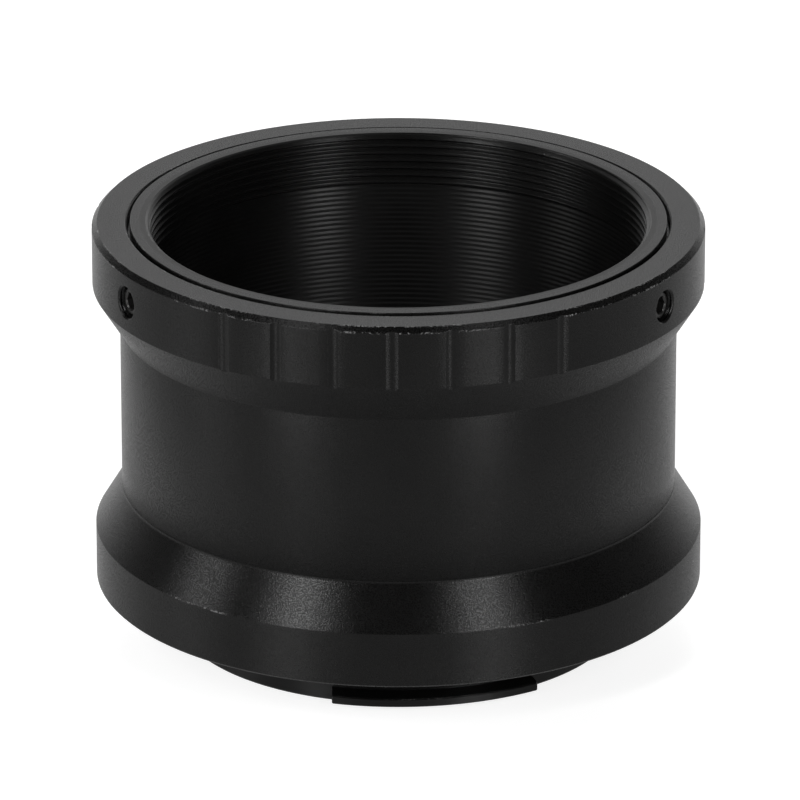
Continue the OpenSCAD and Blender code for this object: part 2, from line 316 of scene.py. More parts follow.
class Shape:
    """Points and faces of one mesh, in millimetres."""

    def __init__(self):
        self.points = []
        self.faces = []

    def add(self, point):
        self.points.append(point)
        return len(self.points) - 1

    def join(self, a, b):
        """Faces between two closed loops with equally many points."""
        for i in range(len(a)):
            j = (i + 1) % len(a)
            self.faces.append((a[i], a[j], b[j], b[i]))

    def stitch(self, a, b):
        """Faces between two rings round the axis with different numbers of points."""
        turns_a, turns_b = ([turn_of(self.points[i]) % 360 for i in ring] for ring in (a, b))
        i = j = 0
        while i < len(a) or j < len(b):
            next_a = turns_a[i + 1] if i + 1 < len(a) else 360
            next_b = turns_b[j + 1] if j + 1 < len(b) else 360
            here_a, here_b = a[i % len(a)], b[j % len(b)]
            if j == len(b) or (i < len(a) and next_a <= next_b):
                self.faces.append((here_a, a[(i + 1) % len(a)], here_b))
                i += 1
            else:
                self.faces.append((here_a, b[(j + 1) % len(b)], here_b))
                j += 1

    def cap(self, loop, centre=None):
        """A fan of faces that closes a loop."""
        if centre is None:
            centre = sum((self.points[i] for i in loop), Vector()) / len(loop)
        tip = self.add(centre)
        for i in range(len(loop)):
            self.faces.append((loop[i], loop[(i + 1) % len(loop)], tip))

    def sleeve(self, loop, spot, rings):
        """Joins a loop to rings round a spot, and returns the last ring sorted by angle."""
        angles = [spot.angle(self.points[i]) for i in loop]
        for ring in rings:
            inner = [self.add(ring(a)) for a in angles]
            self.join(loop, inner)
            loop = inner
        return [i for angle, i in sorted(zip(angles, loop))]

    def lathe(self, outline, columns, spot=None):
        """A wall turned round Z, or round a spot's own axis. Returns the rings at its two ends."""
        rings = []
        for r, z in outline:
            points = [polar(r, 360 * c / columns, z) for c in range(columns)]
            rings.append([self.add(spot.place(p) if spot else p) for p in points])
        for lower, upper in zip(rings, rings[1:]):
            self.join(lower, upper)
        return rings[0], rings[-1]

    def mesh(self, name, sharp):
        """A closed mesh in metres, smooth except at edges sharper than the angle sharp."""
        mesh = bpy.data.meshes.new(name)
        mesh.from_pydata([p * MM for p in self.points], [], self.faces)
        work = bmesh.new()
        work.from_mesh(mesh)
        bmesh.ops.remove_doubles(work, verts=work.verts, dist=WELD * MM)
        bmesh.ops.delete(work, geom=[v for v in work.verts if not v.link_faces], context="VERTS")
        bmesh.ops.recalc_face_normals(work, faces=work.faces)
        work.to_mesh(mesh)
        work.free()
        mesh.shade_smooth()
        mesh.set_sharp_from_angle(angle=radians(sharp))
        return mesh


class Band:
    """A wall round the axis: an outline, which may change with the turn, carried all round."""

    def __init__(self, shape, turns, outline, closed):
        self.shape, self.turns, self.outline, self.closed = shape, turns, outline, closed
        self.columns = [[shape.add(polar(r, turn, z)) for r, z in outline(turn)] for turn in turns]
        self.left_out = set()

    def opening(self, turn, half_turn, r_range, z_range):
        """Leaves a window open round a hole, and returns the loop of points round it."""
        inside = [c for c, t in enumerate(self.turns) if abs(apart(t, turn)) < half_turn + NEAR]
        inside.sort(key=lambda c: apart(self.turns[c], turn))
        rows = []
        for row, (r, z) in enumerate(self.outline(turn)):
            in_r = r_range[0] - NEAR < r < r_range[1] + NEAR
            if in_r and z_range[0] - NEAR < z < z_range[1] + NEAR:
                rows.append(row)
        self.left_out.update((c, row) for c in inside[:-1] for row in rows[:-1])
        grid = [[self.columns[c][row] for row in rows] for c in inside]
        low = [column[0] for column in grid]
        high = [column[-1] for column in grid]
        return low + grid[-1][1:-1] + high[::-1] + grid[0][-2:0:-1]

    def close(self):
        """Adds the faces, and returns the rings at the outline's two ends."""
        count = len(self.columns)
        rows = len(self.columns[0])
        for c, column in enumerate(self.columns):
            after = self.columns[(c + 1) % count]
            for row in range(rows if self.closed else rows - 1):
                if (c, row) not in self.left_out:
                    up = (row + 1) % rows
                    self.shape.faces.append((column[row], after[row], after[up], column[up]))
        return [column[0] for column in self.columns], [column[-1] for column in self.columns]


def helix(shape, groove, phases, pitch, z_lo, z_hi, columns, clip=None, spot=None, start=0.0):
    """A right-handed thread from z_lo to z_hi. Returns the rings at its two ends.

    groove(phase) gives the radius over one pitch, phases the places in a pitch that get a row of
    points, clip(r, z) the radius where a bevel cuts the thread, and start the phase at z_lo and
    turn 0.
    """
    levels = [lap + phase for lap in range(ceil((z_hi - z_lo) / pitch) + 3) for phase in phases]
    grid = []
    for c in range(columns):
        share = c / columns
        column = []
        for level in levels:
            z = min(max(z_lo + pitch * (level + share - start - 1), z_lo), z_hi)
            r = groove(((z - z_lo) / pitch - share + start) % 1)
            point = polar(clip(r, z) if clip else r, 360 * share, z)
            column.append(shape.add(spot.place(point) if spot else point))
        grid.append(column)
    for c, column in enumerate(grid):
        after, shift = (grid[c + 1], 0) if c + 1 < columns else (grid[0], len(phases))
        for row in range(len(levels) - 1 - shift):
            face = (column[row], after[row + shift], after[row + shift + 1], column[row + 1])
            if len({tuple(round(x, 5) for x in shape.points[i]) for i in face}) > 2:
                shape.faces.append(face)
    return [column[0] for column in grid], [column[-1] for column in grid]


def trapezoid(land, floor_w, land_r, depth, flank_rows=1, land_rows=1):
    """A groove over one pitch: land, flank, floor, flank. Gives its radius and its rows' phases.

    land and floor_w are shares of the pitch.
    """
    flank = (1 - land - floor_w) / 2

    def radius(phase):
        if phase < land:
            return land_r
        if phase < land + flank:
            return land_r + depth * (phase - land) / flank
        if phase < land + flank + floor_w:
            return land_r + depth
        return land_r + depth * (1 - phase) / flank

    down = evenly(land, land + flank, flank_rows)
    up = evenly(land + flank + floor_w, 1, flank_rows)
    return radius, evenly(0, land, land_rows)[:-1] + down + up[:-1]


# --- The pieces' shapes ---------------------------------------------------------------------------


def soft_min(a, b, blend):
    """The smaller of two numbers, rounded off where they are closer than blend."""
    near = max(blend - abs(a - b), 0) / blend
    return min(a, b) - near * near * blend / 4


def flute_turns():
    """Turns of the grip flutes, in three groups midway between the set screws."""
    middle_turn = SCREW_TURNS[0] + THIRD / 2
    offsets = [(i - (FLUTES - 1) / 2) * FLUTE_STEP for i in range(FLUTES)]
    return [middle_turn + group * THIRD + offset for group in range(3) for offset in offsets]


FLUTE_TURNS = flute_turns()


def collar_radius(turn):
    """Radius of the collar's wall at a turn, in a flute or between flutes."""
    off = min(abs(apart(turn, f)) for f in FLUTE_TURNS)
    side = CUTTER_AT * sin(radians(off))
    if side >= CUTTER_R:
        return COLLAR_R
    cut = CUTTER_AT * cos(radians(off)) - sqrt(CUTTER_R ** 2 - side ** 2)
    return soft_min(COLLAR_R, cut, FLUTE_SOFT)


def barrel_outline(turn):
    """The front barrel from the ledge in the collar, out and down, to its spigot's end."""
    wall_r = collar_radius(turn)
    slope = (WALL_Z - WAIST_Z) / (COLLAR_R - BARREL_R)
    cut = COLLAR_R - wall_r
    recess_wall = evenly(SCREW_Z - RECESS_WINDOW, SCREW_Z + RECESS_WINDOW, WINDOW_CELLS)
    collar_wall = evenly(SCREW_Z + WINDOW, SCREW_Z - WINDOW, WINDOW_CELLS)
    return rounded(
        [(BORE_END_R, RECESS_Z, 0), (RECESS_R, RECESS_Z, SLIGHT)]
        + [(RECESS_R, z, 0) for z in recess_wall]
        + [
            (RECESS_R, FRONT_Z - FINE_EDGE, FINE),
            (RECESS_R + FINE_EDGE, FRONT_Z, FINE),
            (COLLAR_R - COLLAR_EDGE, FRONT_Z, SOFT),
            (wall_r, FRONT_Z - COLLAR_EDGE + cut, SOFT),
        ]
        + [(wall_r, z, 0) for z in collar_wall]
        + [
            (wall_r, WALL_Z - cut * slope, WIDE),
            (BARREL_R, WAIST_Z, WAIST_FILLET),
            (BARREL_R, SEAM_Z + SEAM_BEVEL, 0),
            (BARREL_R - SEAM_BEVEL, SEAM_Z, 0),
            (SPIGOT_R, SEAM_Z, 0),
            (SPIGOT_R, SPIGOT_Z, 0),
            (BORE_END_R, SPIGOT_Z, 0),
        ]
    )


def front_barrel():
    """Collar, waist and barrel round a helically ribbed bore, with a hole for each set screw."""
    shape = Shape()
    window_turn = degrees(WINDOW / COLLAR_R)
    marks = []
    for offset in FLUTE_COLUMNS:
        step = degrees(offset / COLLAR_R)
        marks += [f + side * step for f in FLUTE_TURNS for side in (-1, 1)]
    for turn in SCREW_TURNS:
        marks += evenly(turn - window_turn, turn + window_turn, WINDOW_CELLS)
    turns = round_turns(marks, WIDEST_BARREL_COLUMN)
    band = Band(shape, turns, barrel_outline, closed=False)
    for turn in SCREW_TURNS:
        outer, inner = wall_spot(COLLAR_R, turn, SCREW_Z), wall_spot(RECESS_R, turn, SCREW_Z)
        wall_window = (SCREW_Z - WINDOW, SCREW_Z + WINDOW)
        recess_window = (SCREW_Z - RECESS_WINDOW, SCREW_Z + RECESS_WINDOW)
        outside = band.opening(turn, window_turn, (COLLAR_R, COLLAR_R), wall_window)
        inside = band.opening(turn, window_turn, (RECESS_R, RECESS_R), recess_window)
        rings = [outer.ring(r, sunk, COLLAR_R) for r, sunk in SCREW_HOLE]
        rings.append(inner.ring(SCREW_HOLE_R, -SLIGHT, RECESS_R))
        outer_end = shape.sleeve(outside, outer, rings)
        rings = [inner.ring(r, 0, RECESS_R) for r in (SCREW_HOLE_R + SLIGHT, SCREW_HOLE_R)]
        shape.join(outer_end, shape.sleeve(inside, inner, rings))
    ledge, spigot_end = band.close()
    ribs, phases = trapezoid(RIB_LAND, RIB_FLOOR, BORE_R, RIB_DEPTH)
    low, high = helix(shape, ribs, phases, RIB_PITCH, SPIGOT_Z, RECESS_Z, RIB_COLUMNS)
    shape.stitch(ledge, high)
    shape.stitch(spigot_end, low)
    return shape.mesh("front_barrel_turned", sharp=57)


def thread_ring():
    """The loose ring, with its internal thread and the V-groove for the set screws outside."""
    shape = Shape()
    mouth_z = RING_TOP_Z - MOUTH_L
    profile = (THREAD_CREST, THREAD_ROOT, THREAD_MINOR_R, THREAD_DEPTH)
    thread, phases = trapezoid(*profile, THREAD_FLANK_ROWS, THREAD_CREST_ROWS)
    root_phase = (1 + THREAD_CREST) / 2
    start = (THREAD_START_TURN / 360 + root_phase - (mouth_z - RING_Z) / THREAD_PITCH) % 1

    def bevelled(r, z):
        """The thread's radius where the bevels at the ring's two ends cut it."""
        depth = RING_TOP_Z - z
        mouth = THREAD_MINOR_R + ENTRY_W - MOUTH_SLOPE * depth
        entry = THREAD_MINOR_R + ENTRY_SLOPE * (ENTRY_L - depth)
        exit_end = THREAD_MINOR_R + RING_Z + EXIT_H - z
        return max(r, mouth, entry, exit_end)

    low, _ = helix(
        shape, thread, phases, THREAD_PITCH, RING_Z, mouth_z, RING_COLUMNS, bevelled, start=start
    )
    outline = rounded(
        [
            (THREAD_MINOR_R + ENTRY_W - MOUTH_SLOPE * MOUTH_L, mouth_z, 0),
            (THREAD_MINOR_R + ENTRY_W, RING_TOP_Z, CRISP),
            (RELIEF_R, RING_TOP_Z, SOFT),
            (RELIEF_R, RING_TOP_Z - RELIEF_L, 0),
            (RING_R, RING_TOP_Z - RELIEF_L, FINE),
            (RING_R, SCREW_Z + VEE, FINE),
            (RING_R - VEE, SCREW_Z, SLIGHT),
            (RING_R, SCREW_Z - VEE, FINE),
            (RING_R, RING_Z + RING_EDGE, FINE),
            (RING_R - RING_EDGE, RING_Z, FINE),
            (THREAD_MAJOR_R + SLIGHT, RING_Z, 0),
        ]
    )
    _, back = shape.lathe(outline, RING_COLUMNS)  # its first ring is the thread's upper end
    shape.stitch(back, low)
    return shape.mesh("thread_ring_threaded", sharp=64)


def flange_outline(turn):
    """The rear flange, from the plate's seat out, over the rim and its cone, and back inside."""
    bead_wall = evenly(BEAD_Z - BEAD_WINDOW, BEAD_Z + BEAD_WINDOW, BEAD_CELLS)
    seat_rows = evenly(PLATE_SCREW_AT - SEAT_WINDOW, PLATE_SCREW_AT + SEAT_WINDOW, SEAT_CELLS)
    return rounded(
        [
            (PLATE_SEAT_R, RIM_Z, FINE),
            (RIM_R - RIM_EDGE, RIM_Z, SOFT),
            (RIM_R, RIM_Z + RIM_EDGE, SOFT),
        ]
        + [(RIM_R, z, 0) for z in bead_wall]
        + [
            (RIM_R, RIM_TOP_Z, BROAD),
            (LIP_R, SEAM_Z - LIP_H, LIP_FILLET),
            (LIP_R, SEAM_Z, 0),
            (SPIGOT_R, SEAM_Z, 0),
            (SPIGOT_R, SPIGOT_Z, 0),
            (MOUTH_R, SPIGOT_Z, SLIGHT),
            (APERTURE_R, PLATE_TOP_Z + THROAT_L, WIDE),
            (APERTURE_R, PLATE_TOP_Z, 0),
        ]
        + [(r, PLATE_TOP_Z, 0) for r in seat_rows]
        + [(PLATE_SEAT_R, PLATE_TOP_Z, CRISP)]
    )


def rear_flange():
    """Cone and rim, with the bead's seat and the plate screws' blind holes."""
    shape = Shape()
    bead_turn = degrees(BEAD_WINDOW / RIM_R)
    seat_turn = degrees(SEAT_WINDOW / PLATE_SCREW_AT)
    marks = evenly(BEAD_TURN - bead_turn, BEAD_TURN + bead_turn, BEAD_CELLS)
    for turn in PLATE_SCREW_TURNS:
        marks += evenly(turn - seat_turn, turn + seat_turn, SEAT_CELLS)
    turns = round_turns(marks, WIDEST_FLANGE_COLUMN)
    band = Band(shape, turns, flange_outline, closed=True)
    spot = wall_spot(RIM_R, BEAD_TURN, BEAD_Z)
    bead_window = (BEAD_Z - BEAD_WINDOW, BEAD_Z + BEAD_WINDOW)
    loop = band.opening(BEAD_TURN, bead_turn, (RIM_R, RIM_R), bead_window)
    rings = [spot.ring(r, sunk, RIM_R) for r, sunk in BEAD_SEAT] + [spot.ring(BEAD_R, BEAD_L)]
    shape.cap(shape.sleeve(loop, spot, rings))
    seat = (PLATE_SCREW_AT - SEAT_WINDOW, PLATE_SCREW_AT + SEAT_WINDOW)
    for turn in PLATE_SCREW_TURNS:
        spot = flat_spot(PLATE_SCREW_AT, turn, PLATE_TOP_Z, -1)
        loop = band.opening(turn, seat_turn, seat, (PLATE_TOP_Z, PLATE_TOP_Z))
        rings = [spot.ring(PLATE_SHANK_R), spot.ring(PLATE_SHANK_R, PLATE_HOLE_L)]
        shape.cap(shape.sleeve(loop, spot, rings))
    band.close()
    return shape.mesh("rear_flange_turned", sharp=50)


def lug_radius(turn):
    """Radius over the bayonet's lugs at a turn: the lug's, its bevelled end's or the neck's."""
    off = min(abs(apart(turn, LUG_TURN + i * THIRD)) for i in range(3))
    end = LUG_ARC / 2
    if off > end + NEAR:
        return NECK_R
    return LUG_R - LUG_LEAD * max(0, 1 - (end - off) / LUG_BEVEL_TURN)


def block_radius(turn):
    """Radius over the stop block at a turn. The block is at one end of one lug."""
    return BLOCK_R if -BLOCK_ARC - NEAR < apart(turn, BLOCK_END) < NEAR else NECK_R


def bayonet_outline(turn):
    """The bayonet ring, from its free end up the neck, over lug and stop, and round the plate."""
    lug_r, block_r = lug_radius(turn), block_radius(turn)
    bevelled_r = max(NECK_R, lug_r - LUG_LEAD)
    lug_top = LUG_Z + LUG_T
    face_rows = evenly(*PLATE_FACE, PLATE_CELLS)
    return rounded(
        [
            (APERTURE_R + NECK_LEAD, 0, CRISP),
            (NECK_R - NECK_LEAD, 0, CRISP),
            (NECK_R, NECK_LEAD, CRISP),
            (NECK_R, LUG_Z, 0),
            (bevelled_r, LUG_Z, 0),
            (lug_r, LUG_Z + LUG_LEAD, 0),
            (lug_r, lug_top - LUG_LEAD, 0),
            (bevelled_r, lug_top, 0),
            (block_r, lug_top, 0),
            (block_r, lug_top + BLOCK_H, 0),
            (NECK_R, lug_top + BLOCK_H, 0),
            (NECK_R, RIM_Z, BROAD),
        ]
        + [(r, RIM_Z, 0) for r in face_rows]
        + [(PLATE_R, RIM_Z, SLIGHT), (PLATE_R, PLATE_TOP_Z, CRISP)]
        + [(r, PLATE_TOP_Z, 0) for r in face_rows[::-1]]
        + [(APERTURE_R, PLATE_TOP_Z, CRISP), (APERTURE_R, NECK_LEAD, CRISP)]
    )


def pin_slot(angle):
    """Distance from the lock slot's middle to its edge: two straight sides and two round ends."""
    side, along = abs(sin(angle)), abs(cos(angle))
    if side * PIN_HALF_L >= along * PIN_R:
        return PIN_R / side
    return PIN_HALF_L * along + sqrt(PIN_R ** 2 - (PIN_HALF_L * side) ** 2)


def plate_hole(shape, band, turn, half_turn, entry, size):
    """A hole up through the plate. entry gives its rings from the underside, as (size, depth)."""
    under = flat_spot(PLATE_SCREW_AT, turn, RIM_Z, -1)
    over = flat_spot(PLATE_SCREW_AT, turn, PLATE_TOP_Z, 1)
    loop = band.opening(turn, half_turn, PLATE_FACE, (RIM_Z, RIM_Z))
    lower = shape.sleeve(loop, under, [under.ring(*ring) for ring in entry])
    loop = band.opening(turn, half_turn, PLATE_FACE, (PLATE_TOP_Z, PLATE_TOP_Z))
    shape.join(lower, shape.sleeve(loop, over, [over.ring(size)]))


def bayonet_ring():
    """Neck, lugs and stop block on a plate with six screw holes and a lock-pin slot."""
    shape = Shape()
    screw_turn = degrees(PLATE_WINDOW / PLATE_SCREW_AT)
    slot_turn = degrees(SLOT_WINDOW / PLATE_SCREW_AT)
    slot_at = LUG_TURN + THIRD / 2
    marks = [BLOCK_END - BLOCK_ARC, BLOCK_END - BLOCK_ARC - HAIR]
    for i in range(3):
        for side in (-1, 1):
            end = LUG_TURN + i * THIRD + side * LUG_ARC / 2
            marks += [end, end + side * HAIR, end - side * LUG_BEVEL_TURN]
    for turn in PLATE_SCREW_TURNS:
        marks += evenly(turn - screw_turn, turn + screw_turn, PLATE_CELLS)
    marks += evenly(slot_at - slot_turn, slot_at + slot_turn, PLATE_CELLS)
    turns = round_turns(marks, WIDEST_FLANGE_COLUMN)
    band = Band(shape, turns, bayonet_outline, closed=True)
    hole_r = PLATE_SHANK_R + PLATE_SCREW_GAP
    head_end = PLATE_HEAD_H - PLATE_SCREW_GAP
    entry = [(PLATE_HEAD_R + FINE, 0), (PLATE_HEAD_R, HEAD_EDGE_IN), (hole_r, head_end)]
    for turn in PLATE_SCREW_TURNS:
        plate_hole(shape, band, turn, screw_turn, entry, hole_r)
    entry = [(lambda a: pin_slot(a) + SLIGHT, 0), (pin_slot, SLIGHT)]
    plate_hole(shape, band, slot_at, slot_turn, entry, pin_slot)
    band.close()
    return shape.mesh("bayonet_ring_turned", sharp=30)


def hexagon(angle):
    """Distance from a hexagon socket's axis to its wall."""
    return SOCKET_AF / 2 / cos((angle % (pi / 3)) - pi / 6)


def set_screw(name, turn):
    """A socket set screw with its own thread and cone point, along its radial axis."""
    shape = Shape()
    spot = wall_spot(SCREW_END_R - SCREW_L, turn, SCREW_Z)
    cone_l = TIP_CONE_R - TIP_R
    groove, phases = trapezoid(SCREW_CREST, SCREW_ROOT, SCREW_R, -SCREW_THREAD_DEPTH, flank_rows=2)

    def bevelled(r, z):
        """The thread's radius where the cone point or the bevel at the outer end cuts it."""
        return min(r, TIP_CONE_R + z - cone_l, SCREW_END_FACE_R + SCREW_END_TAPER * (SCREW_L - z))

    _, high = helix(
        shape, groove, phases, SCREW_PITCH, cone_l, SCREW_THREAD_TOP, SCREW_COLUMNS, bevelled, spot
    )
    cone = [(bevelled(SCREW_R, cone_l), cone_l), (TIP_R, 0)]
    _, tip = shape.lathe(cone, SCREW_COLUMNS, spot)  # its first ring is the thread's inner end
    shape.cap(tip)
    end = Spot(spot.place(Vector((0, 0, SCREW_L))), spot.across, spot.up, spot.out)
    rings = [
        end.ring(SCREW_END_FACE_R - FINE),
        end.ring(SOCKET_MOUTH_R + FINE),
        end.ring(SOCKET_MOUTH_R),
        end.ring(hexagon, SOCKET_LEAD),
        end.ring(hexagon, SOCKET_LEAD + FINE),
        end.ring(hexagon, SOCKET_DEPTH - SOCKET_POINT),
    ]
    bottom = shape.sleeve(high, end, rings)
    shape.cap(bottom, end.place(Vector((0, 0, -SOCKET_DEPTH))))
    return shape.mesh(name + "_threaded", sharp=35)


def cross(angle):
    """Distance from a cross recess's axis to its wall: two crossed slots."""
    c, s = abs(cos(angle)) + TINY, abs(sin(angle)) + TINY
    half_l, half_w = CROSS_L / 2, CROSS_W / 2
    return max(min(half_l / c, half_w / s), min(half_w / c, half_l / s))


def plate_screw(name, turn):
    """A countersunk screw with a cross recess, driven up through the plate."""
    shape = Shape()
    spot = flat_spot(PLATE_SCREW_AT, turn, RIM_Z, -1)
    base = Spot(spot.centre, spot.across, spot.up, -spot.out)
    outline = rounded(
        [
            (PLATE_HEAD_R - HEAD_FACE_IN, 0, 0),
            (PLATE_HEAD_R - HEAD_EDGE_IN, 0, CRISP),
            (PLATE_SHANK_R, PLATE_HEAD_H, 0),
            (PLATE_SHANK_R, PLATE_SCREW_L - PLATE_SCREW_LEAD, 0),
            (PLATE_SHANK_R - PLATE_SCREW_LEAD, PLATE_SCREW_L, 0),
        ]
    )
    head, end = shape.lathe(outline, PLATE_SCREW_COLUMNS, base)
    shape.cap(end)
    rings = [
        spot.ring(lambda a: cross(a) + CRISP),
        spot.ring(cross, CRISP),
        spot.ring(lambda a: cross(a) * CROSS_TAPER, CROSS_DEPTH),
    ]
    bottom = shape.sleeve(head, spot, rings)
    shape.cap(bottom, spot.place(Vector((0, 0, -CROSS_DEPTH - CROSS_POINT))))
    return shape.mesh(name + "_turned", sharp=35)


def index_bead():
    """A low enamelled dome on a round plug."""
    shape = Shape()
    spot = wall_spot(RIM_R - BEAD_L, BEAD_TURN, BEAD_Z)
    dome_r = (BEAD_R ** 2 + BEAD_DOME ** 2) / (2 * BEAD_DOME)
    top_z = BEAD_L + BEAD_PROUD
    radii = [BEAD_R * (1 - i / DOME_ROWS) for i in range(DOME_ROWS)]
    dome = [(r, top_z - dome_r + sqrt(dome_r ** 2 - r ** 2)) for r in radii]
    foot_ring, crown = shape.lathe([(BEAD_R, 0)] + dome, BEAD_COLUMNS, spot)
    shape.cap(foot_ring)
    shape.cap(crown, spot.place(Vector((0, 0, top_z))))
    return shape.mesh("index_bead_domed", sharp=50)


# --- Materials ------------------------------------------------------------------------------------


class Graph:
    """A material's or world's node tree, with short calls for its nodes."""

    def __init__(self, tree):
        self.tree = tree
        tree.nodes.clear()

    def node(self, kind, **settings):
        made = self.tree.nodes.new("ShaderNode" + kind)
        for key, value in settings.items():
            setattr(made, key, value)
        return made

    def feed(self, socket, value):
        if isinstance(value, bpy.types.NodeSocket):
            self.tree.links.new(value, socket)
        else:
            socket.default_value = value

    def math(self, operation, *values):
        made = self.node("Math", operation=operation)
        for socket, value in zip(made.inputs, values):
            self.feed(socket, value)
        return made.outputs[0]

    def add(self, a, b):
        return self.math("ADD", a, b)

    def mul(self, a, b):
        return self.math("MULTIPLY", a, b)

    def less(self, a, b):
        return self.math("SUBTRACT", a, b)

    def step(self, value, start, end, low=0.0, high=1.0):
        """A smooth step from low at start to high at end."""
        made = self.node("MapRange", interpolation_type="SMOOTHSTEP")
        for socket, x in zip(made.inputs, (value, start, end, low, high)):
            self.feed(socket, x)
        return made.outputs[0]

    def vector(self, x, y, z):
        made = self.node("CombineXYZ")
        for socket, value in zip(made.inputs, (x, y, z)):
            self.feed(socket, value)
        return made.outputs[0]

    def noise(self, vector, scale, detail=2.0, roughness=0.5):
        made = self.node("TexNoise")
        self.feed(made.inputs["Vector"], vector)
        made.inputs["Scale"].default_value = scale
        made.inputs["Detail"].default_value = detail
        made.inputs["Roughness"].default_value = roughness
        return made.outputs["Fac"]

    def bump(self, height, strength, distance, normal=None):
        made = self.node("Bump")
        made.inputs["Strength"].default_value = strength
        made.inputs["Distance"].default_value = distance
        self.feed(made.inputs["Height"], height)
        if normal is not None:
            self.feed(made.inputs["Normal"], normal)
        return made.outputs["Normal"]

    def parts(self, vector):
        """The X, Y and Z of a vector."""
        made = self.node("SeparateXYZ")
        self.feed(made.inputs[0], vector)
        return made.outputs

    def mix(self, share, a, b, kind="RGBA"):
        """A colour, or with kind VECTOR a vector, between a and b."""
        made = self.node("Mix", data_type=kind)
        self.feed(made.inputs["Factor"], share)
        self.feed(made.inputs["A"], a)
        self.feed(made.inputs["B"], b)
        return made.outputs["Result"]

    def output(self, shader, kind="OutputMaterial"):
        self.feed(self.node(kind).inputs["Surface"], shader.outputs[0])


def new_material(name):
    """A material, and the graph of its empty node tree."""
    material = bpy.data.materials.new(name)
    material.use_nodes = True
    return material, Graph(material.node_tree)


def grey(value, warm=0.0):
    return (value * (1 + warm), value, value * (1 - warm), 1.0)


# Black anodising: its colours and gloss, its turning lines and grain, its wear and dust, and how
# the bore differs from the outside. A pair holds the values where a smooth step starts and ends.
DARK_BLACK, LIGHT_BLACK, WARMTH = 0.00256, 0.00384, 0.02
COATING_IOR, TURNED, QUARTER_TURN = 1.3, 0.85, 0.25
LINE_STRETCH, LINE_SLOPE = 0.004, 0.7
GRAIN_DEPTH, PIT_ROUGHNESS = 0.04 * MM, 0.1
FACING_AXIS, GRAIN_SCALE = (0.85, 0.97), 11000
WEAR_WIDTH = (0.14 * MM, 0.03 * MM)
WEAR_RUNS, WEAR_CHIPS, RUN_EXTRA = (0.4, 0.58), (0.58, 0.66), 0.1
PATCH_START, PATCH_END, USED_SIDE = 0.6, 0.7, 0.07
WORN_GREY, WORN_GLOSS, DUST_GREY = 0.14, 0.08, 0.2
SPECK_SCALE, SPECK_SIZE, SPECK_RARITY = 420, (0.05, 0.02), (0.95, 0.97)
BORE_LIMIT = ((BORE_END_R + 0.3) * MM, (BORE_END_R + 0.7) * MM)
BORE_GRAIN, BORE_ROUGHER = 0.3, 0.04


def scattered(g, tangent, where):
    """The tangent, turned at random from grain to grain where the surface faces along the axis."""
    normal = g.parts(g.node("NewGeometry").outputs["Normal"])
    flat = g.step(g.math("ABSOLUTE", normal[2]), *FACING_AXIS)
    grains = g.node("TexNoise")
    g.feed(grains.inputs["Vector"], where)
    grains.inputs["Scale"].default_value = GRAIN_SCALE
    spread = g.node("VectorMath", operation="SUBTRACT")
    g.feed(spread.inputs[0], grains.outputs["Color"])
    spread.inputs[1].default_value = (0.5, 0.5, 0.5)
    return g.mix(flat, tangent, spread.outputs[0], kind="VECTOR")


def round_coordinates(g):
    """A point's place in metres, its unit direction from the Z axis, its radius and its height."""
    where = g.node("TexCoord").outputs["Object"]
    x, y, z = g.parts(where)
    radius = g.math("SQRT", g.add(g.mul(x, x), g.mul(y, y)))
    return where, g.math("DIVIDE", x, radius), g.math("DIVIDE", y, radius), radius, z


def edge_wear(g, where, radius, z, edges, most_used, worn_share):
    """How far the coating is rubbed through, in small chips along edges.

    The edges are given as (radius, height). most_used is 1 on the side that was handled most and
    -1 across from it, and a larger worn_share wears more of each edge.
    """
    chips = g.noise(where, scale=4600, detail=3.0, roughness=0.65)
    runs = g.step(g.noise(where, scale=520, roughness=0.6), *WEAR_RUNS)
    handled = g.add(g.noise(where, scale=75, roughness=0.6), g.mul(most_used, USED_SIDE))
    patches = g.step(handled, PATCH_START - worn_share, PATCH_END - worn_share)
    at_edge = None
    for edge_r, edge_z in edges:
        dr, dz = g.less(radius, edge_r * MM), g.less(z, edge_z * MM)
        away = g.math("SQRT", g.add(g.mul(dr, dr), g.mul(dz, dz)))
        near = g.step(away, *WEAR_WIDTH)
        at_edge = near if at_edge is None else g.math("MAXIMUM", at_edge, near)
    rubbed = g.step(g.add(chips, g.mul(runs, RUN_EXTRA)), *WEAR_CHIPS)
    return g.mul(g.mul(at_edge, patches), rubbed)


def dust_specks(g, where):
    """A few pale specks, each a fraction of a millimetre across."""
    cells = g.node("TexVoronoi")
    g.feed(cells.inputs["Vector"], where)
    cells.inputs["Scale"].default_value = SPECK_SCALE
    chosen = g.node("SeparateColor")
    g.feed(chosen.inputs[0], cells.outputs["Color"])
    small = g.step(cells.outputs["Distance"], *SPECK_SIZE)
    return g.mul(small, g.step(chosen.outputs[0], *SPECK_RARITY))


